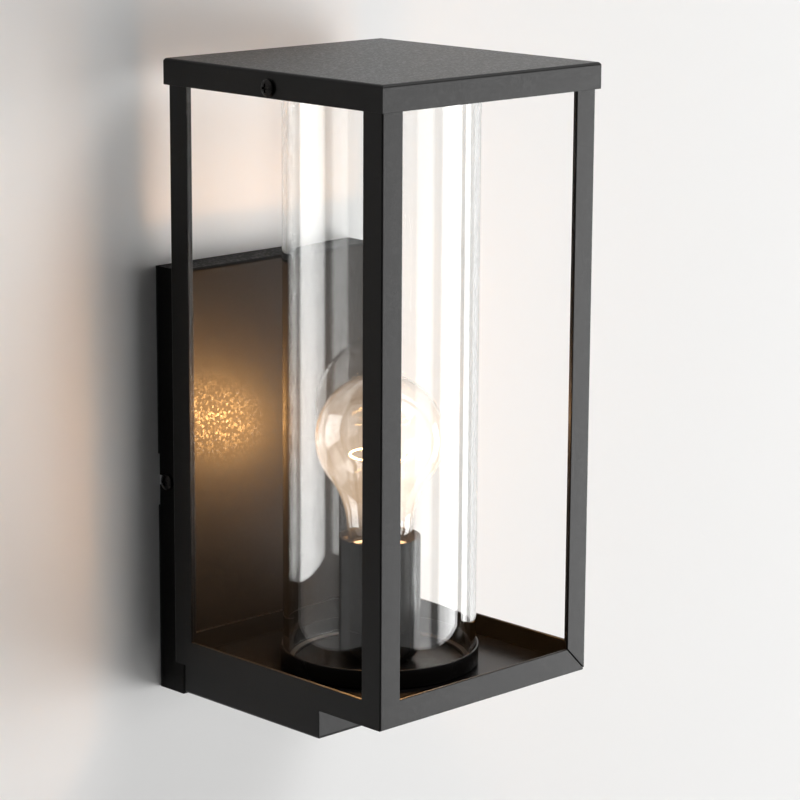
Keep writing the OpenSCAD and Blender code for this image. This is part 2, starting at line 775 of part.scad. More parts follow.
// Sleeve screwed over the spigot. The bead inside it holds the ceramic down.
module cover_sleeve() {
    bead_z = sleeve_h - ceramic_sink;
    inner = cover_r - cover_t;
    color(black_coat) at_axis(shoulder_z) rotate_extrude() polygon([
        [inner, 0], [cover_r, 0], [cover_r, sleeve_h], [inner, sleeve_h],
        [inner, bead_z + bead_h], [inner - cover_t, bead_z + bead_h],
        [inner - cover_t, bead_z], [inner, bead_z]]);
}

// Ceramic insert: its shoulder rests on the spigot, and its socket takes the screw shell
module holder_body() {
    lower_r = cup_inner_r - fit_gap;
    bore_r = shell_r + fit_gap;
    color(ceramic) at_axis(0) difference() {
        rotate_extrude() polygon([
            [0, ceramic_low], [lower_r, ceramic_low], [lower_r, spigot_top], [spigot_r, spigot_top],
            [spigot_r, ceramic_top], [bore_r, ceramic_top], [bore_r, socket_z], [0, socket_z]]);
        for (side = [-1, 1]) translate([side * lead_x, 0, ceramic_low - cut])
            cylinder(r = lead_r + fit_gap, h = shoulder_z + lead_hole_h - ceramic_low + cut);
    }
}

module holder_shell() {
    height = ceramic_top - socket_z - shell_low;
    color(brass) at_axis(socket_z) rotate_extrude() polygon([
        [shell_inner_r - shell_lip, 0], [shell_r, 0], [shell_r, height],
        [shell_inner_r, height], [shell_inner_r, shell_t], [shell_inner_r - shell_lip, shell_t]]);
}

module holder_contact() {
    color(brass) at_axis(socket_z) {
        cylinder(r = contact_pad_r, h = contact_pad_t);
        cylinder(r = contact_spring_r, h = contact_h);
    }
}

module holder_nipple() {
    color(zinc) at_axis(nipple_low) tube(nipple_r, nipple_bore_r, dish_floor_z + cup_boss_h - nipple_low);
}

module nipple_nut() {
    color(zinc) at_axis(tray_z - nipple_nut_h) hex_nut(nipple_nut_af, nipple_r + thread_gap, nipple_nut_h);
}

// ---- Lamp ----

// Outline of the lamp's glass from the top of the globe down to the cap, moved inwards
// by inset: an arc for the globe, an arc for the neck and a short taper into the cap
neck_z = globe_z - sqrt(pow(globe_r + neck_curve_r, 2) - pow(neck_r + neck_curve_r, 2));
neck_angle = asin((neck_r + neck_curve_r) / (globe_r + neck_curve_r));
globe_steps = 24;
neck_steps = 10;
function lamp_outline(inset) = concat(
    [for (i = [0 : globe_steps]) let (a = i / globe_steps * (180 - neck_angle))
        [(globe_r - inset) * sin(a), globe_z + (globe_r - inset) * cos(a)]],
    [for (i = [1 : neck_steps]) let (a = neck_angle + i / neck_steps * (90 - neck_angle))
        [neck_r + neck_curve_r - (neck_curve_r + inset) * sin(a), neck_z + (neck_curve_r + inset) * cos(a)]],
    [[glass_tail_r - inset, cap_top + 0.4], [glass_tail_r - inset, glass_tail_z]]);

module lamp_glass() {
    outer = lamp_outline(0);
    inner = lamp_outline(lamp_glass_t);
    color(clear_glass) at_axis(0) rotate_extrude()
        polygon(concat(outer, [for (i = [len(inner) - 1 : -1 : 0]) inner[i]]));
}

// Brass shell with rolled grooves, open at the top for the glass
module lamp_cap() {
    skirt_z = lamp_z + tip_h + insulator_h;
    color(brass) at_axis(0) difference() {
        translate([0, 0, skirt_z]) cylinder(r = cap_r, h = cap_top - skirt_z);
        translate([0, 0, skirt_z - cut])
            cylinder(r = cap_r - cap_t - cap_thread, h = cap_top - skirt_z + 2 * cut);
        translate([0, 0, glass_tail_z - fit_gap]) cylinder(r = cap_r - cap_t, h = cap_h);
        for (i = [0 : cap_grooves - 1]) translate([0, 0, skirt_z + (i + 0.5) * cap_pitch])
            rotate_extrude() translate([cap_r + groove_r - groove_depth, 0]) circle(groove_r);
    }
}

module lamp_insulator() {
    color(vitrite) at_axis(lamp_z + tip_h)
        cylinder(r1 = insulator_r, r2 = cap_r - insulator_step, h = insulator_h);
}

module lamp_contact() {
    color(zinc) at_axis(lamp_z) cylinder(r = tip_r, h = tip_h);
}

// Glass stem: a flare fused to the neck, a tube, a flat pinch and a rod with a button
module lamp_stem() {
    flare_r = glass_tail_r - lamp_glass_t - thread_gap;
    flare_z = glass_tail_z + shell_t;
    curve_r = flare_r - stem_r;
    curve_z = flare_z + stem_t;
    pinch_low = pinch_z + pinch_overlap - pinch_h;
    color(clear_glass) at_axis(0) {
        rotate_extrude() polygon(concat(
            [[stem_r - stem_t, flare_z], [flare_r, flare_z]],
            [for (a = [90 : -15 : 0]) [stem_r + curve_r * (1 - cos(a)), curve_z + curve_r * (1 - sin(a))]],
            [[stem_r, pinch_low], [stem_r - stem_t, pinch_low]]));
        translate([-stem_r, -pinch_t / 2, pinch_low]) cube([2 * stem_r, pinch_t, pinch_h]);
        translate([0, 0, pinch_z]) cylinder(r = rod_r, h = button_z - pinch_z);
        translate([0, 0, button_z]) sphere(button_r);
    }
}

// Two lead-in wires from the pinch and four supports from the button, all up to the filament
filament_gap = 60;
wire_r = 0.25;
function on_ring(a) = (filament_r - coil_r - wire_r) * [cos(a), sin(a), 0] + [0, 0, filament_z];
module lamp_wires() {
    supports = 4;
    arc = 360 - filament_gap;
    color(zinc) at_axis(0) {
        for (side = [-1, 1])
            wire([lead_in_x, side * lead_in_y, pinch_z + pinch_overlap + fit_gap],
                on_ring(side * (filament_gap / 2 + 2)), wire_r);
        for (i = [1 : supports]) let (a = filament_gap / 2 + i * arc / (supports + 1))
            wire([(button_r + fit_gap) * cos(a), (button_r + fit_gap) * sin(a), button_z],
                on_ring(a), wire_r);
    }
}

module lamp_filament() {
    color(tungsten) at_axis(filament_z) rotate([0, 0, filament_gap / 2])
        rotate_extrude(angle = 360 - filament_gap) translate([filament_r, 0]) circle(coil_r, $fn = 24);
}

// ---- Pieces ----

post(0);  // front_left_post
post(1);  // front_right_post
post(2);  // rear_right_post
post(3);  // rear_left_post
bottom_rail(0);  // front_bottom_rail
bottom_rail(1);  // right_bottom_rail
bottom_rail(2);  // rear_bottom_rail
bottom_rail(3);  // left_bottom_rail
top_rail(0);  // front_top_rail
top_rail(1);  // right_top_rail
top_rail(2);  // rear_top_rail
top_rail(3);  // left_top_rail
tray_floor();
roof_cap();
roof_tabs();
roof_screw(-1);  // roof_screw_left
roof_screw(1);  // roof_screw_right
wall_bracket();
wall_box();
wall_gasket();
side_screw(-1);  // side_screw_left
side_screw(1);  // side_screw_right
arm_box();
cable_grommet();
weld_studs();
stud_nuts();
terminal_block();
terminal_barrels();
terminal_screws();
earth_eyelet();
glass_dish();
glass_seat();
glass_cylinder();
cover_base();
cover_sleeve();
holder_body();
holder_shell();
holder_contact();
holder_nipple();
nipple_nut();
lamp_glass();
lamp_cap();
lamp_insulator();
lamp_contact();
lamp_stem();
lamp_wires();
lamp_filament();
holder_lead(-1, [0.45, 0.25, 0.12]);  // live_lead
holder_lead(1, [0.15, 0.3, 0.7]);  // neutral_lead
earth_lead();
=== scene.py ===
import math
import bmesh
import bpy
from mathutils import Matrix, Vector


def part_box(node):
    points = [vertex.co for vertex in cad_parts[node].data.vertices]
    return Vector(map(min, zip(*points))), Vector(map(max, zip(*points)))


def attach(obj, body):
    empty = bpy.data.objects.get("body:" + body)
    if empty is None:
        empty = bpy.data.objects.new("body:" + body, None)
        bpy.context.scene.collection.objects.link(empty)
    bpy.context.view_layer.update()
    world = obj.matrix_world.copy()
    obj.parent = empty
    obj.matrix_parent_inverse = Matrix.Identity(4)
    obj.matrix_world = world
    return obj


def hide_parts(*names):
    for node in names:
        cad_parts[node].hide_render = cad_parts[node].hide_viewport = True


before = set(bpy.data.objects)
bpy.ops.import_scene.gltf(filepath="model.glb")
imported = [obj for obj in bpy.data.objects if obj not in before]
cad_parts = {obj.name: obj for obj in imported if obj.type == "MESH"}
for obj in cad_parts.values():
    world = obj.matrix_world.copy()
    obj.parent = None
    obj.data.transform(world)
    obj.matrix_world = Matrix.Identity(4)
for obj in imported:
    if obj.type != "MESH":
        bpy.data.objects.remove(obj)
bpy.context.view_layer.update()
scene = bpy.context.scene
scene.view_settings.view_transform = "Standard"

# ---- Camera ----
# It stands to the left of the lantern's front corner and a little above its middle.
# A long lens keeps the posts nearly parallel.
camera_place = Vector((-0.9329, -1.0604, 0.3443))
camera_yaw = math.radians(44.18)
camera_pitch = math.radians(12.59)
camera_roll = math.radians(0.31)
camera_lens = 135.5


def add(name, data):
    thing = bpy.data.objects.new(name, data)
    scene.collection.objects.link(thing)
    return thing


camera_data = bpy.data.cameras.new("camera")
camera_data.sensor_width = 36
camera_data.lens = camera_lens
camera_data.clip_start = 0.01
camera = add("camera", camera_data)
camera.matrix_world = (Matrix.Translation(camera_place)
                       @ Matrix.Rotation(-camera_yaw, 4, "Z")
                       @ Matrix.Rotation(math.pi / 2 - camera_pitch, 4, "X")
                       @ Matrix.Rotation(camera_roll, 4, "Z"))
scene.camera = camera


# ---- Powder coat ----
# Steel pieces are sprayed with a black polyester powder and baked. The coat is matt,
# with a fine sandy grain, a few bright grains and a soft unevenness over a hand's width.
def new_material(name):
    material = bpy.data.materials.new(name)
    material.use_nodes = True
    tree = material.node_tree
    return material, tree, tree.nodes["Principled BSDF"]


def link(tree, source, target):
    tree.links.new(source, target)


def maths(tree, operation, first, second=None):
    # Each input is a number or another node's output
    node = tree.nodes.new("ShaderNodeMath")
    node.operation = operation
    for socket, value in zip(node.inputs, (first, second)):
        if isinstance(value, (int, float)):
            socket.default_value = value
        elif value is not None:
            link(tree, value, socket)
    return node.outputs[0]


def remapped(tree, value, to_range, from_range=(0, 1), smooth=False):
    node = tree.nodes.new("ShaderNodeMapRange")
    if smooth:
        node.interpolation_type = "SMOOTHSTEP"
    node.inputs["From Min"].default_value, node.inputs["From Max"].default_value = from_range
    node.inputs["To Min"].default_value, node.inputs["To Max"].default_value = to_range
    link(tree, value, node.inputs["Value"])
    return node.outputs["Result"]


def mixed_colour(tree, factor, first, second):
    mix = tree.nodes.new("ShaderNodeMix")
    mix.data_type = "RGBA"
    mix.inputs["A"].default_value = (*first, 1)
    mix.inputs["B"].default_value = (*second, 1)
    link(tree, factor, mix.inputs["Factor"])
    return mix.outputs["Result"]


def grain_group():
    group = bpy.data.node_groups.new("fine_grain", "ShaderNodeTree")
    for name, default in (("Grain Size", 0.0007), ("Patch Size", 0.05)):
        socket = group.interface.new_socket(name, in_out="INPUT", socket_type="NodeSocketFloat")
        socket.default_value = default
    for name in ("Height", "Sparkle", "Patches"):
        group.interface.new_socket(name, in_out="OUTPUT", socket_type="NodeSocketFloat")
    nodes = group.nodes
    inputs = nodes.new("NodeGroupInput")
    outputs = nodes.new("NodeGroupOutput")
    place = nodes.new("ShaderNodeTexCoord")

    grain = nodes.new("ShaderNodeTexNoise")
    grain.inputs["Detail"].default_value = 3
    grain.inputs["Roughness"].default_value = 0.65
    link(group, place.outputs["Object"], grain.inputs["Vector"])
    link(group, maths(group, "DIVIDE", 1, inputs.outputs["Grain Size"]), grain.inputs["Scale"])
    link(group, grain.outputs["Fac"], outputs.inputs["Height"])

    # One speck spans a little more than one grain, and the redder half of them shine
    speck_share = 0.8
    shine_from = 0.5
    specks = nodes.new("ShaderNodeTexVoronoi")
    link(group, place.outputs["Object"], specks.inputs["Vector"])
    speck_scale = maths(group, "DIVIDE", speck_share, inputs.outputs["Grain Size"])
    link(group, speck_scale, specks.inputs["Scale"])
    split = nodes.new("ShaderNodeSeparateColor")
    link(group, specks.outputs["Color"], split.inputs["Color"])
    shine = remapped(group, split.outputs["Red"], (0, 1), from_range=(shine_from, 1))
    link(group, shine, outputs.inputs["Sparkle"])

    patches = nodes.new("ShaderNodeTexNoise")
    patches.inputs["Detail"].default_value = 4
    patches.inputs["Roughness"].default_value = 0.55
    link(group, place.outputs["Object"], patches.inputs["Vector"])
    link(group, maths(group, "DIVIDE", 1, inputs.outputs["Patch Size"]), patches.inputs["Scale"])
    link(group, patches.outputs["Fac"], outputs.inputs["Patches"])
    return group


fine_grain = grain_group()


def grained(name, dark, light, roughness, sparkle_drop, grain_size, bump_depth, patch_size=0.05):
    # A coloured surface whose tone, roughness and relief all follow the grain group
    material, tree, shader = new_material(name)
    grain = tree.nodes.new("ShaderNodeGroup")
    grain.node_tree = fine_grain
    grain.inputs["Grain Size"].default_value = grain_size
    grain.inputs["Patch Size"].default_value = patch_size
    tone = mixed_colour(tree, grain.outputs["Patches"], dark, light)
    link(tree, tone, shader.inputs["Base Color"])
    gloss = remapped(tree, grain.outputs["Sparkle"], (roughness, roughness - sparkle_drop))
    link(tree, gloss, shader.inputs["Roughness"])
    if bump_depth:
        bump = tree.nodes.new("ShaderNodeBump")
        bump.inputs["Strength"].default_value = 0.6
        bump.inputs["Distance"].default_value = bump_depth
        link(tree, grain.outputs["Height"], bump.inputs["Height"])
        link(tree, bump.outputs["Normal"], shader.inputs["Normal"])
    return material, shader


def powder_coat(name, level, roughness, sparkle_drop, grain_size, bump_depth):
    material, shader = grained(name, (0.0065, 0.0063, 0.0062), (0.009, 0.0087, 0.0084),
                               roughness, sparkle_drop, grain_size, bump_depth)
    shader.inputs["Specular IOR Level"].default_value = level
    return material


black_coat = powder_coat("black_powder_coat", level=0.17, roughness=0.38, sparkle_drop=0.1,
                         grain_size=0.0007, bump_depth=0.00005)
satin_coat = powder_coat("black_satin_coat", level=0.15, roughness=0.24, sparkle_drop=0,
                         grain_size=0.0007, bump_depth=0.00002)


# ---- Cage ----
# Four posts and four bottom rails are cut from steel angle, mitred and welded from
# inside, and four flat bars join the posts at the top. The coat rounds every edge.
posts = ("front_left_post", "front_right_post", "rear_left_post", "rear_right_post")
bottom_rails = ("front_bottom_rail", "rear_bottom_rail", "left_bottom_rail", "right_bottom_rail")
top_rails = ("front_top_rail", "rear_top_rail", "left_top_rail", "right_top_rail")
mitre_back = 0.0003 / math.sqrt(2)
edge_round = 0.0004
corner_round = 0.0008
sheet_round = 0.0003
sharp_angle = math.radians(30)
flat_angle = math.radians(0.5)
near = 1e-5
weld_distance = 1e-6
cage_low = Vector(min(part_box(node)[0][i] for node in (*posts, *bottom_rails)) for i in range(3))
cage_high = Vector(max(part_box(node)[1][i] for node in (*posts, *bottom_rails)) for i in range(3))


def close_mitres(form, node):
    # Fills a joint with paint: the bar's mitred end moves up to the joint's middle plane.
    # The joint at the front right corner stays open. Returns the points of closed joints.
    low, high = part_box(node)
    along = max(range(3), key=lambda i: high[i] - low[i])
    others = [i for i in range(3) if i != along]
    closed = set()
    for point in form.verts:
        inward = [min(point.co[i] - cage_low[i], cage_high[i] - point.co[i]) for i in range(3)]
        inward[2] = point.co.z - cage_low.z
        end_right = point.co.x > (cage_low.x + cage_high.x) / 2
        end_front = point.co.y < (cage_low.y + cage_high.y) / 2
        back = inward[along] - max(inward[i] for i in others)
        if abs(back - mitre_back) > near:
            continue
        if end_right and end_front:
            continue
        toward = 1 if point.co[along] > (low[along] + high[along]) / 2 else -1
        point.co[along] += toward * mitre_back
        closed.add(point)
    return closed


def coated_copy(node, body, material, width=edge_round, segments=3, mitred=False):
    # The CAD solid with its triangles merged into whole faces and its edges rounded
    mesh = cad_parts[node].data.copy()
    form = bmesh.new()
    form.from_mesh(mesh)
    bmesh.ops.remove_doubles(form, verts=form.verts, dist=weld_distance)
    bmesh.ops.dissolve_limit(form, angle_limit=flat_angle, verts=form.verts, edges=form.edges)
    closed = close_mitres(form, node) if mitred else set()
    rounding = form.edges.layers.float.new("bevel_weight_edge")
    for edge in form.edges:
        corner = edge.is_manifold and edge.calc_face_angle() > sharp_angle
        painted_over = edge.verts[0] in closed and edge.verts[1] in closed
        outer = mitred and all(min(point.co[i] - cage_low[i], cage_high[i] - point.co[i]) < near
                               for point in edge.verts for i in (0, 1))
        if painted_over or not corner:
            edge[rounding] = 0
        elif outer or not mitred:
            edge[rounding] = 1
        else:
            edge[rounding] = edge_round / corner_round
        edge.smooth = not (corner and painted_over)
    for face in form.faces:
        face.smooth = True
    form.to_mesh(mesh)
    form.free()
    mesh.materials.clear()
    source = add(node + "_form", mesh)
    bevel = source.modifiers.new("edges", "BEVEL")
    bevel.width = width
    bevel.segments = segments
    bevel.limit_method = "WEIGHT"
    flat = source.modifiers.new("flat_faces", "WEIGHTED_NORMAL")
    flat.mode = "FACE_AREA"
    flat.weight = 100
    flat.keep_sharp = True
    graph = bpy.context.evaluated_depsgraph_get()
    finished = bpy.data.meshes.new_from_object(source.evaluated_get(graph), depsgraph=graph)
    bpy.data.objects.remove(source)
    finished.name = node + "_coated"
    finished.materials.append(material)
    piece = add(node + "_coated", finished)
    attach(piece, body)
    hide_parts(node)
    return piece


coated = {}
for bar in (*posts, *bottom_rails):
    coated[bar] = coated_copy(bar, "lantern", black_coat,
                              width=corner_round, segments=4, mitred=True)
for bar in top_rails:
    coated_copy(bar, "lantern", black_coat)
coated["tray"] = coated_copy("tray_floor", "lantern", satin_coat, width=sheet_round)
coated_copy("arm_box", "lantern", black_coat, width=sheet_round)
# Painted shade: the wall box gets a duller, rougher copy of the coat, so that its front stays darker
# than the posts' fronts, as though the cage shaded it
shaded_box_coat = powder_coat("black_box_coat", level=0.075, roughness=0.54, sparkle_drop=0.2,
                       grain_size=0.0009, bump_depth=0.00005)
coated["wall_box"] = coated_copy("wall_box", "lantern", shaded_box_coat, width=sheet_round)
coated_copy("roof_cap", "roof", black_coat, width=sheet_round)

# ---- Dish and lampholder cover ----
# A spun dish holds the glass, and a cup and a sleeve of thin steel hide the lampholder.
# Both are lathe shapes with rolled rims, coated like the cage.
lathe_steps = 256


def lathe(name, outline, axis, body, node, material, closed=True):
    # The outline is a list of (radius, height) points, anticlockwise round the section
    form = bmesh.new()
    loop = []
    for radius, height in outline:
        loop.append(form.verts.new((axis.x + radius, axis.y, height)))
    count = len(loop)
    last = count if closed else count - 1
    edges = [form.edges.new((loop[i], loop[(i + 1) % count])) for i in range(last)]
    bmesh.ops.spin(form, geom=loop + edges, cent=(axis.x, axis.y, 0), axis=(0, 0, 1),
                   angle=math.tau, steps=lathe_steps, use_merge=True)
    bmesh.ops.remove_doubles(form, verts=form.verts, dist=weld_distance)
    bmesh.ops.recalc_face_normals(form, faces=form.faces)
    mesh = bpy.data.meshes.new(name)
    form.to_mesh(mesh)
    form.free()
    mesh.shade_smooth()
    mesh.set_sharp_from_angle(angle=sharp_angle)
    mesh.materials.append(material)
    piece = add(name, mesh)
    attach(piece, body)
    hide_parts(node)
    return piece


def corner_arc(centre_r, centre_z, radius, start, end, steps=4):
    # Points on a quarter turn or half turn, angles in degrees from the outward radius
    points = []
    for i in range(steps + 1):
        angle = math.radians(start + (end - start) * i / steps)
        points.append((centre_r + radius * math.cos(angle), centre_z + radius * math.sin(angle)))
    return points


dish_low, dish_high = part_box("glass_dish")
lamp_axis = (dish_low + dish_high) / 2
dish_r = (dish_high.x - dish_low.x) / 2
dish_wall = 0.001
dish_bend = 0.0016
nipple_gap = 0.0003
nipple_low, nipple_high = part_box("holder_nipple")
nipple_hole = (nipple_high.x - nipple_low.x) / 2 + nipple_gap
rim_r = dish_r - dish_wall / 2
dish_outline = (
    [(nipple_hole, dish_low.z)]
    + corner_arc(dish_r - dish_bend, dish_low.z + dish_bend, dish_bend, -90, 0, 6)
    + corner_arc(rim_r, dish_high.z - dish_wall / 2, dish_wall / 2, 0, 180, 6)
    + [(dish_r - dish_wall, dish_low.z + dish_bend)]
    + corner_arc(dish_r - dish_bend, dish_low.z + dish_bend, dish_bend - dish_wall, 0, -90, 3)
    + [(nipple_hole, dish_low.z + dish_wall)])
coated["dish"] = lathe("dish", dish_outline, lamp_axis, "lantern", "glass_dish",
                       satin_coat)
base_round = 0.0002
coated_copy("cover_base", "lantern", satin_coat, width=base_round, segments=2)
sleeve_round = 0.00035
coated["sleeve"] = coated_copy("cover_sleeve", "lantern", satin_coat, width=sleeve_round)

# ---- Glass ----
# The cylinder is clear borosilicate tube with fire-polished ends, and the lamp is a blown
# A60 bulb. Shadow rays pass straight through, as light passes clear glass.
def mixed_shader(tree, share, first, second):
    choice = tree.nodes.new("ShaderNodeMixShader")
    link(tree, share, choice.inputs["Fac"])
    link(tree, first, choice.inputs[1])
    link(tree, second, choice.inputs[2])
    return choice.outputs["Shader"]


def clear_glass(name, colour, shadow, ior):
    material, tree, shader = new_material(name)
    shader.inputs["Base Color"].default_value = (*colour, 1)
    shader.inputs["Roughness"].default_value = 0
    shader.inputs["IOR"].default_value = ior
    shader.inputs["Transmission Weight"].default_value = 1
    ray = tree.nodes.new("ShaderNodeLightPath")
    through = tree.nodes.new("ShaderNodeBsdfTransparent")
    through.inputs["Color"].default_value = (*shadow, 1)
    surface = mixed_shader(tree, ray.outputs["Is Shadow Ray"], shader.outputs["BSDF"],
                           through.outputs["BSDF"])
    link(tree, surface, tree.nodes["Material Output"].inputs["Surface"])
    return material


tube_glass = clear_glass("tube_glass", (0.985, 0.99, 0.985), (0.972, 0.975, 0.972), 1.46)
bulb_glass = clear_glass("bulb_glass", (0.99, 0.99, 0.99), (0.975, 0.975, 0.975), 1.46)
lit_low, lit_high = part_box("lamp_filament")


def painted_glow_on_glass(material, colour, strength, centre, reach):
    # Painted glow: the glass near the lit filament gives off a warm light of its own, fading away from
    # the filament
    tree = material.node_tree
    shader = tree.nodes["Principled BSDF"]
    place = tree.nodes.new("ShaderNodeTexCoord")
    away = tree.nodes.new("ShaderNodeVectorMath")
    away.operation = "DISTANCE"
    away.inputs[1].default_value = centre
    link(tree, place.outputs["Object"], away.inputs[0])
    fade = remapped(tree, away.outputs["Value"], (1, 0), from_range=reach, smooth=True)
    link(tree, mixed_colour(tree, fade, (0, 0, 0), colour), shader.inputs["Emission Color"])
    shader.inputs["Emission Strength"].default_value = strength


# The bulb and stem glass get a painted glow round the filament
painted_glow_on_glass(bulb_glass, colour=(1, 0.68, 0.42), strength=0.13, centre=(lit_low + lit_high) / 2,
        reach=(0.026, 0.043))

glass_low, glass_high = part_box("glass_cylinder")
glass_r = (glass_high.x - glass_low.x) / 2
glass_wall = 0.0025
lip = glass_wall / 2
lip_blend = 0.0002
lip_end = lip + lip_blend
tube_outline = (
    [(glass_r - glass_wall, glass_low.z + lip_end)]
    + corner_arc(glass_r - lip, glass_low.z + lip, lip, -180, 0, 10)
    + [(glass_r, glass_low.z + lip_end), (glass_r, glass_high.z - lip_end)]
    + corner_arc(glass_r - lip, glass_high.z - lip, lip, 0, 180, 10)
    + [(glass_r - glass_wall, glass_high.z - lip_end)])
lathe("glass_tube", tube_outline, lamp_axis, "glass", "glass_cylinder", tube_glass)

# ---- Lamp ----
# A clear A60 lamp: a blown bulb, a glass stem with a flat pinch, and a brass screw cap.
# Its outline is one arc for the globe, one for the neck and a taper into the cap.
bulb_low, bulb_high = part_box("lamp_glass")
globe_r = (bulb_high.x - bulb_low.x) / 2
globe_z = bulb_high.z - globe_r
neck_r = 0.0153
neck_curve = 0.04
bulb_wall = 0.0007
tail_r = 0.0123
tail_rise = 0.0004
cap_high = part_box("lamp_cap")[1]
neck_angle = math.asin((neck_r + neck_curve) / (globe_r + neck_curve))
neck_z = globe_z - math.sqrt((globe_r + neck_curve) ** 2 - (neck_r + neck_curve) ** 2)


def bulb_outline(inset):
    globe_steps = 40
    neck_steps = 16
    points = []
    for i in range(globe_steps + 1):
        angle = i / globe_steps * (math.pi - neck_angle)
        points.append(((globe_r - inset) * math.sin(angle),
                       globe_z + (globe_r - inset) * math.cos(angle)))
    for i in range(1, neck_steps + 1):
        angle = neck_angle + i / neck_steps * (math.pi / 2 - neck_angle)
        points.append((neck_r + neck_curve - (neck_curve + inset) * math.sin(angle),
                       neck_z + (neck_curve + inset) * math.cos(angle)))
    points.append((tail_r - inset, cap_high.z + tail_rise))
    points.append((tail_r - inset, bulb_low.z))
    return points


bulb_skin = bulb_outline(0) + bulb_outline(bulb_wall)[::-1]
lathe("bulb", bulb_skin, lamp_axis, "lamp", "lamp_glass", bulb_glass, closed=False)
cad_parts["lamp_stem"].data.materials.clear()
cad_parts["lamp_stem"].data.materials.append(bulb_glass)

# ---- Filament ----
# Tungsten wire is wound to a fine coil, which hangs in an open ring from the stem's wires.
# It is lit, and its light falls on the wall box, the tray and the lampholder.
def filament_tree(material):
    tree = bpy.data.node_groups.new("coiled_filament", "GeometryNodeTree")
    names = {}
    for name, default in (("Ring Radius", 0.014), ("Coil Radius", 0.00035), ("Wire Radius", 0.0001),
                          ("Turns", 90.0), ("Gap Angle", math.radians(60))):
        socket = tree.interface.new_socket(name, in_out="INPUT", socket_type="NodeSocketFloat")
        socket.default_value = default
        names[name] = socket.identifier
    tree.interface.new_socket("Geometry", in_out="OUTPUT", socket_type="NodeSocketGeometry")
    nodes = tree.nodes
    inputs = nodes.new("NodeGroupInput")
    outputs = nodes.new("NodeGroupOutput")

    steps_per_turn = 12
    line = nodes.new("GeometryNodeMeshLine")
    count = maths(tree, "MULTIPLY", inputs.outputs["Turns"], steps_per_turn)
    link(tree, count, line.inputs["Count"])
    index = nodes.new("GeometryNodeInputIndex")
    share = maths(tree, "DIVIDE", index.outputs[0], count)
    arc = maths(tree, "SUBTRACT", math.tau, inputs.outputs["Gap Angle"])
    half_gap = maths(tree, "MULTIPLY", inputs.outputs["Gap Angle"], 0.5)
    turn = maths(tree, "ADD", maths(tree, "MULTIPLY", share, arc), half_gap)
    wind = maths(tree, "MULTIPLY", index.outputs[0], math.tau / steps_per_turn)
    out = maths(tree, "MULTIPLY", inputs.outputs["Coil Radius"], maths(tree, "COSINE", wind))
    radius = maths(tree, "ADD", inputs.outputs["Ring Radius"], out)
    height = maths(tree, "MULTIPLY", inputs.outputs["Coil Radius"], maths(tree, "SINE", wind))
    place = nodes.new("ShaderNodeCombineXYZ")
    link(tree, maths(tree, "MULTIPLY", radius, maths(tree, "COSINE", turn)), place.inputs["X"])
    link(tree, maths(tree, "MULTIPLY", radius, maths(tree, "SINE", turn)), place.inputs["Y"])
    link(tree, height, place.inputs["Z"])
    move = nodes.new("GeometryNodeSetPosition")
    link(tree, line.outputs["Mesh"], move.inputs["Geometry"])
    link(tree, place.outputs[0], move.inputs["Position"])
    curve = nodes.new("GeometryNodeMeshToCurve")
    link(tree, move.outputs["Geometry"], curve.inputs["Mesh"])
    profile = nodes.new("GeometryNodeCurvePrimitiveCircle")
    profile.inputs["Resolution"].default_value = 5
    link(tree, inputs.outputs["Wire Radius"], profile.inputs["Radius"])
    wire = nodes.new("GeometryNodeCurveToMesh")
    wire.inputs["Fill Caps"].default_value = True
    link(tree, curve.outputs["Curve"], wire.inputs["Curve"])
    link(tree, profile.outputs["Curve"], wire.inputs["Profile Curve"])
    real = nodes.new("GeometryNodeRealizeInstances")
    link(tree, wire.outputs["Mesh"], real.inputs["Geometry"])
    coat = nodes.new("GeometryNodeSetMaterial")
    coat.inputs["Material"].default_value = material
    link(tree, real.outputs["Geometry"], coat.inputs["Geometry"])
    link(tree, coat.outputs["Geometry"], outputs.inputs["Geometry"])
    return tree, names


glowing, glow_tree, glow_shader = new_material("glowing_filament")
glow_shader.inputs["Base Color"].default_value = (0.9, 0.55, 0.25, 1)
glow_shader.inputs["Roughness"].default_value = 0.5
heat = glow_tree.nodes.new("ShaderNodeTexNoise")
heat.inputs["Scale"].default_value = 300
heat_place = glow_tree.nodes.new("ShaderNodeTexCoord")
link(glow_tree, heat_place.outputs["Object"], heat.inputs["Vector"])
heat_colour = mixed_colour(glow_tree, heat.outputs["Fac"], (1, 0.56, 0.2), (1, 0.68, 0.33))
link(glow_tree, heat_colour, glow_shader.inputs["Emission Color"])
glow_shader.inputs["Emission Strength"].default_value = 260

coil_low, coil_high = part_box("lamp_filament")
coil_mesh = bpy.data.meshes.new("filament_start")
coil_source = add("filament_source", coil_mesh)
coil_nodes, coil_inputs = filament_tree(glowing)
winding = coil_source.modifiers.new("winding", "NODES")
winding.node_group = coil_nodes
filament_section = (coil_high.z - coil_low.z) / 2
wire_r = 0.00012
winding[coil_inputs["Ring Radius"]] = (coil_high.y - coil_low.y) / 2 - filament_section
winding[coil_inputs["Coil Radius"]] = filament_section - wire_r
winding[coil_inputs["Wire Radius"]] = wire_r
graph = bpy.context.evaluated_depsgraph_get()
coil_final = bpy.data.meshes.new_from_object(coil_source.evaluated_get(graph), depsgraph=graph)
coil_centre = Vector((lamp_axis.x, lamp_axis.y, (coil_low.z + coil_high.z) / 2))
coil_final.transform(Matrix.Translation(coil_centre))
bpy.data.objects.remove(coil_source)
filament = add("filament", coil_final)
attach(filament, "lamp")
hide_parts("lamp_filament")

# The lit filament lights the wall box and the holder
glow_light = bpy.data.lights.new("filament_light", "POINT")
glow_light.energy = 0.16
glow_light.color = (1, 0.47, 0.2)
glow_light.shadow_soft_size = 0.006
glow_object = add("filament_light", glow_light)
glow_object.location = coil_centre
glow_object.visible_transmission = False


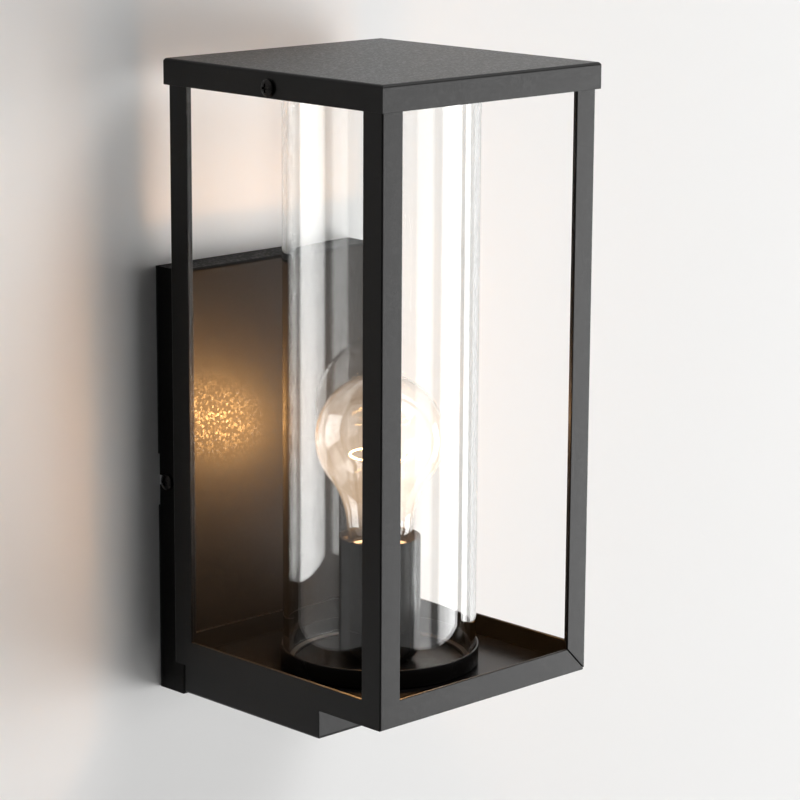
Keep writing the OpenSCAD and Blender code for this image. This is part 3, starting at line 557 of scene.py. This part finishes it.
# Some coated pieces mirror the filament more strongly than they are lit by it
def gleam(name, energy, size, shift, pieces):
    light = bpy.data.lights.new(name, "POINT")
    light.energy = energy
    light.color = (1, 0.5, 0.17)
    light.shadow_soft_size = size
    lamp = add(name, light)
    lamp.location = coil_centre + Vector(shift)
    lamp.visible_diffuse = False
    receivers = bpy.data.collections.new(name)
    for piece in pieces:
        receivers.objects.link(piece)
    lamp.light_linking.receiver_collection = receivers


gleam("box_gleam", energy=4.2, size=0, shift=(0.012, 0.009, -0.007), pieces=(coated["wall_box"],))
gleam("tray_gleam", energy=5, size=0.004, shift=(0, 0, 0),
      pieces=[coated[name] for name in (*bottom_rails, "tray", "dish", "sleeve")])


# ---- Metal, ceramic and rubber inside ----
# Zinc-plated steel, rolled brass, glazed steatite, vitrite, foam and silicone: each CAD
# piece keeps its shape and gets its own finish.
def dress(node, material):
    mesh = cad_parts[node].data
    mesh.materials.clear()
    mesh.materials.append(material)


def metal(name, dark, light, roughness):
    material, shader = grained(name, dark, light, roughness, sparkle_drop=0.1, grain_size=0.0004,
                               bump_depth=0.00001, patch_size=0.006)
    shader.inputs["Metallic"].default_value = 1
    return material


zinc = metal("zinc_plate", (0.52, 0.53, 0.56), (0.68, 0.69, 0.71), 0.34)
brass = metal("rolled_brass", (0.62, 0.42, 0.17), (0.78, 0.56, 0.26), 0.3)
tungsten = metal("drawn_wire", (0.3, 0.28, 0.26), (0.45, 0.42, 0.4), 0.4)
black_screw = metal("black_oxide", (0.018, 0.017, 0.0165), (0.03, 0.028, 0.027), 0.36)
steatite, _ = grained("glazed_steatite", (0.8, 0.78, 0.72), (0.88, 0.87, 0.83),
                      roughness=0.25, sparkle_drop=0.05, grain_size=0.0006, bump_depth=0.00002)
vitrite, _ = grained("black_vitrite", (0.012, 0.01, 0.012), (0.02, 0.018, 0.02),
                     roughness=0.2, sparkle_drop=0.02, grain_size=0.0006, bump_depth=0.00001)
foam, _ = grained("foam_rubber", (0.012, 0.012, 0.012), (0.025, 0.025, 0.025),
                  roughness=0.85, sparkle_drop=0.05, grain_size=0.0008, bump_depth=0.0002)
silicone, _ = grained("silicone", (0.016, 0.016, 0.016), (0.024, 0.024, 0.024),
                      roughness=0.6, sparkle_drop=0.05, grain_size=0.001, bump_depth=0.00003)


def wire_sleeve(name, dark, light, patch_size=0.05):
    material, _ = grained(name, dark, light, roughness=0.45, sparkle_drop=0.1, grain_size=0.0006,
                          bump_depth=0.00004, patch_size=patch_size)
    return material


brown_wire = wire_sleeve("brown_sleeve", (0.13, 0.05, 0.02), (0.17, 0.07, 0.03))
blue_wire = wire_sleeve("blue_sleeve", (0.02, 0.06, 0.3), (0.03, 0.09, 0.38))
green_wire = wire_sleeve("green_sleeve", (0.1, 0.3, 0.03), (0.5, 0.5, 0.05), patch_size=0.004)

finishes = {
    zinc: ("roof_tabs", "wall_bracket", "weld_studs", "stud_nuts", "terminal_screws",
           "holder_nipple", "nipple_nut", "lamp_contact"),
    brass: ("terminal_barrels", "holder_shell", "holder_contact", "lamp_cap", "earth_eyelet"),
    black_screw: ("roof_screw_left", "roof_screw_right", "side_screw_left", "side_screw_right"),
    tungsten: ("lamp_wires",),
    steatite: ("holder_body", "terminal_block"),
    vitrite: ("lamp_insulator",),
    foam: ("wall_gasket", "cable_grommet"),
    silicone: ("glass_seat",),
    brown_wire: ("live_lead",),
    blue_wire: ("neutral_lead",),
    green_wire: ("earth_lead",)}
for finish, finished_nodes in finishes.items():
    for finished_node in finished_nodes:
        dress(finished_node, finish)

# ---- Wall, floor and light ----
# A pale wall carries the lantern and a pale floor lies below it. Seen from behind, the
# wall is clear, so that the lantern's back can be looked at.
wall_gap = 0.0003
room_half = 4.0
floor_z = -1.7
room_height = 4.2
room_view = 0.85
floor_view = 0.6


def backdrop(name, corners, material):
    mesh = bpy.data.meshes.new(name)
    mesh.from_pydata(corners, [], [(0, 1, 2, 3)])
    mesh.materials.append(material)
    piece = add(name, mesh)
    return piece


wall_paint, wall_tree, wall_shader = new_material("wall_paint")
wall_shader.inputs["Base Color"].default_value = (0.86, 0.858, 0.852, 1)
wall_shader.inputs["Specular IOR Level"].default_value = 0
wall_shader.inputs["Roughness"].default_value = 0.9
floor_paint, floor_tree, floor_shader = new_material("floor_paint")


def backdrop_side(tree, shader):
    # Only the front side of the backdrop is painted: its back lets the view through, and
    # it stops no light
    ray = tree.nodes.new("ShaderNodeLightPath")
    side = tree.nodes.new("ShaderNodeNewGeometry")
    seen_through = maths(tree, "MAXIMUM", ray.outputs["Is Shadow Ray"], side.outputs["Backfacing"])
    clear = tree.nodes.new("ShaderNodeBsdfTransparent")
    surface = mixed_shader(tree, seen_through, shader.outputs["BSDF"], clear.outputs["BSDF"])
    link(tree, surface, tree.nodes["Material Output"].inputs["Surface"])
    return ray


backdrop_side(wall_tree, wall_shader)
floor_ray = backdrop_side(floor_tree, floor_shader)
# Looked at directly or through the glass, the floor is pale without lighting anything
floor_seen = maths(floor_tree, "MAXIMUM", floor_ray.outputs["Is Camera Ray"],
                   floor_ray.outputs["Is Transmission Ray"])
link(floor_tree, maths(floor_tree, "MULTIPLY", floor_seen, floor_view),
     floor_shader.inputs["Emission Strength"])
floor_paint.cycles.emission_sampling = "NONE"
floor_shader.inputs["Emission Color"].default_value = (1, 0.998, 0.99, 1)
floor_shader.inputs["Base Color"].default_value = (0.84, 0.838, 0.83, 1)
floor_shader.inputs["Specular IOR Level"].default_value = 0
floor_shader.inputs["Roughness"].default_value = 0.9
wall_top = floor_z + room_height
backdrop("wall", [(-room_half, wall_gap, floor_z), (room_half, wall_gap, floor_z),
                  (room_half, wall_gap, wall_top), (-room_half, wall_gap, wall_top)], wall_paint)
backdrop("floor", [(-room_half, -room_half, floor_z), (room_half, -room_half, floor_z),
                   (room_half, room_half, floor_z), (-room_half, room_half, floor_z)], floor_paint)

# The room is pale where it is looked at, and dim where it lights the lantern. One side of
# it, at the front left, is dark, so that polished edges and glass keep their contrast.
world = bpy.data.worlds.new("studio")
scene.world = world
world.use_nodes = True
sky = world.node_tree
dim = sky.nodes["Background"]
dim.inputs["Color"].default_value = (1, 0.985, 0.97, 1)
dim.inputs["Strength"].default_value = 0.03
pale = sky.nodes.new("ShaderNodeBackground")
pale.inputs["Color"].default_value = (1, 0.995, 0.985, 1)
pale.inputs["Strength"].default_value = room_view
sky_ray = sky.nodes.new("ShaderNodeLightPath")
sky_place = sky.nodes.new("ShaderNodeTexCoord")
dark_side = sky.nodes.new("ShaderNodeVectorMath")
dark_side.operation = "DOT_PRODUCT"
dark_bearing = math.radians(-38)
dark_edge = (math.cos(math.radians(48)), math.cos(math.radians(36)))
dark_side.inputs[1].default_value = (math.sin(dark_bearing), -math.cos(dark_bearing), 0)
link(sky, sky_place.outputs["Generated"], dark_side.inputs[0])
bright_side = remapped(sky, dark_side.outputs["Value"], (0.5, 0.02), from_range=dark_edge, smooth=True)
gloss_share = maths(sky, "MULTIPLY", sky_ray.outputs["Is Glossy Ray"], bright_side)
seen_share = maths(sky, "MAXIMUM", sky_ray.outputs["Is Camera Ray"],
                   sky_ray.outputs["Is Transmission Ray"])
sky_surface = mixed_shader(sky, maths(sky, "MAXIMUM", seen_share, gloss_share),
                           dim.outputs["Background"], pale.outputs["Background"])
link(sky, sky_surface, sky.nodes["World Output"].inputs["Surface"])

# A lamp looked at straight through the glass is as pale as the room round it: a curtain in
# front of it hides it from rays that have only passed through glass
curtain, curtain_tree, _ = new_material("lamp_curtain")
curtain.cycles.emission_sampling = "NONE"
curtain_ray = curtain_tree.nodes.new("ShaderNodeLightPath")
turned = maths(curtain_tree, "ADD", curtain_ray.outputs["Glossy Depth"],
               curtain_ray.outputs["Diffuse Depth"])
straight = maths(curtain_tree, "LESS_THAN", turned, 0.5)
curtain_open = curtain_tree.nodes.new("ShaderNodeBsdfTransparent")
curtain_pale = curtain_tree.nodes.new("ShaderNodeEmission")
curtain_pale.inputs["Strength"].default_value = room_view
curtain_surface = mixed_shader(curtain_tree, straight, curtain_open.outputs["BSDF"],
                               curtain_pale.outputs["Emission"])
link(curtain_tree, curtain_surface, curtain_tree.nodes["Material Output"].inputs["Surface"])
curtain_gap = 0.01
curtain_size = 1.02


def softbox(name, bearing, rise, distance, width, height, energy, spread=180):
    # A flat lamp that faces the middle of the cage. Bearing 0 is straight in front of it.
    light = bpy.data.lights.new(name, "AREA")
    light.shape = "RECTANGLE"
    light.size = width
    light.size_y = height
    light.energy = energy
    light.spread = math.radians(spread)
    lamp = add(name, light)
    target = Vector((lamp_axis.x, lamp_axis.y, (glass_low.z + glass_high.z) / 2))
    away = Vector((math.sin(math.radians(bearing)) * math.cos(math.radians(rise)),
                   -math.cos(math.radians(bearing)) * math.cos(math.radians(rise)),
                   math.sin(math.radians(rise))))
    lamp.location = target + away * distance
    lamp.rotation_euler = away.to_track_quat("Z", "Y").to_euler()
    turn = lamp.rotation_euler.to_matrix()
    reach = Vector((width, height, 0)) * curtain_size / 2
    corners = [lamp.location - away * curtain_gap + turn @ Vector((x * reach.x, y * reach.y, 0))
               for x, y in ((-1, -1), (1, -1), (1, 1), (-1, 1))]
    screen = backdrop(name + "_curtain", corners, curtain)
    screen.visible_camera = False
    screen.visible_diffuse = False
    screen.visible_glossy = False
    screen.visible_shadow = False


softbox("key", bearing=57, rise=-12, distance=3, width=2.7, height=1.9, energy=28, spread=90)
softbox("front", bearing=9, rise=-12, distance=3, width=1.1, height=1.9, energy=3.9, spread=90)
softbox("top", bearing=45, rise=50, distance=3, width=2, height=1.6, energy=45)
softbox("back", bearing=160, rise=-20, distance=2.5, width=1.5, height=1.2, energy=12)
